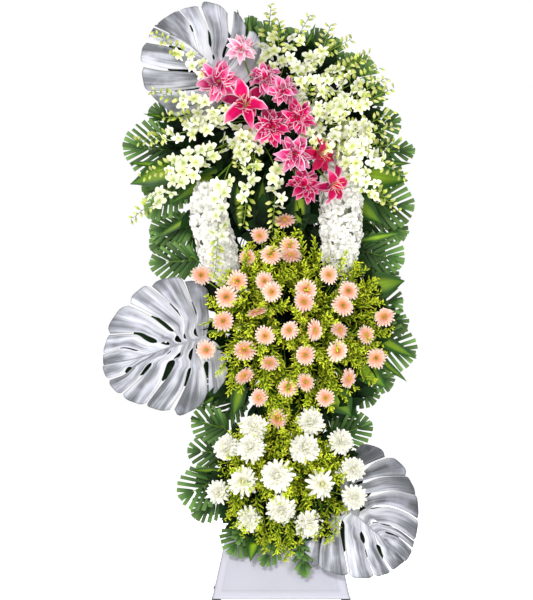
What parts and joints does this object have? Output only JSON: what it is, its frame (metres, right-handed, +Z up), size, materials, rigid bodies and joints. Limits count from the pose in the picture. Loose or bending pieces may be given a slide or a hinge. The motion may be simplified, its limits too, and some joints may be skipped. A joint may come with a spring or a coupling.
{
  "type": "standing funeral spray",
  "caption": "Tall three-tier spray of cut flowers and foliage in floral foam on a steel stand with a white front panel, free-standing on rubber feet.",
  "frame": {"origin": "on the floor, under the middle of the box that the whole spray takes up", "axes": "+Z up; the flowers and the front panel face -Y; +X is to the right as seen from the front"},
  "size_m": [1.0574, 0.5398, 1.985],
  "materials": {
    "white_steel": "satin",
    "black_rubber": "matte",
    "white_panel": "matte",
    "green_plastic": "satin",
    "green_foam": "matte",
    "silver_leaf": "satin",
    "palm_green": "satin",
    "striped_green": "satin",
    "goldenrod": "matte",
    "lily_pink": "satin",
    "gerbera_peach": "matte",
    "chrysanthemum_white": "matte",
    "orchid_white": "satin"
  },
  "bodies": {
    "root": {"platform": "white_steel", "leg_front_left": "white_steel", "leg_front_right": "white_steel", "leg_rear_left": "white_steel", "leg_rear_right": "white_steel", "foot_front_left": "black_rubber", "foot_front_right": "black_rubber", "foot_rear_left": "black_rubber", "foot_rear_right": "black_rubber", "front_panel": "white_panel", "mast": "white_steel", "tray_top": "green_plastic", "tray_mid": "green_plastic", "tray_low": "green_plastic", "foam_top": "green_foam", "foam_mid": "green_foam", "foam_low": "green_foam", "silver_leaf_top": "silver_leaf", "silver_leaf_mid": "silver_leaf", "silver_leaf_low": "silver_leaf", "palm_top_left": "palm_green", "palm_top": "palm_green", "palm_top_right": "palm_green", "palm_mid_left": "palm_green", "palm_mid_right": "palm_green", "palm_low_left": "palm_green", "palm_low_right": "palm_green", "palm_low_front": "palm_green", "strap_top_left": "striped_green", "strap_top_right": "striped_green", "strap_mid_right": "striped_green", "strap_arch": "striped_green", "strap_mid_low": "striped_green", "strap_low": "striped_green", "column_left": "orchid_white", "column_right": "orchid_white", "gerberas_top": "gerbera_peach", "gerberas_upper_left": "gerbera_peach", "gerberas_lower_left": "gerbera_peach", "gerberas_bottom": "gerbera_peach", "gerberas_lower_right": "gerbera_peach", "gerberas_upper_right": "gerbera_peach", "chrysanthemums_upper_left": "chrysanthemum_white", "chrysanthemums_lower_left": "chrysanthemum_white", "chrysanthemums_upper_right": "chrysanthemum_white", "chrysanthemums_lower_right": "chrysanthemum_white", "lilies_upper_left": "lily_pink", "lilies_upper": "lily_pink", "lilies_middle": "lily_pink", "lilies_right": "lily_pink", "lilies_lower": "lily_pink", "orchids_top": "orchid_white", "orchids_upper_right": "orchid_white", "orchids_right": "orchid_white", "orchids_left": "orchid_white", "orchids_hanging": "orchid_white", "goldenrod_mid_left": "goldenrod", "goldenrod_mid_right": "goldenrod", "goldenrod_low_left": "goldenrod", "goldenrod_low_right": "goldenrod"}
  },
  "joints": []
}
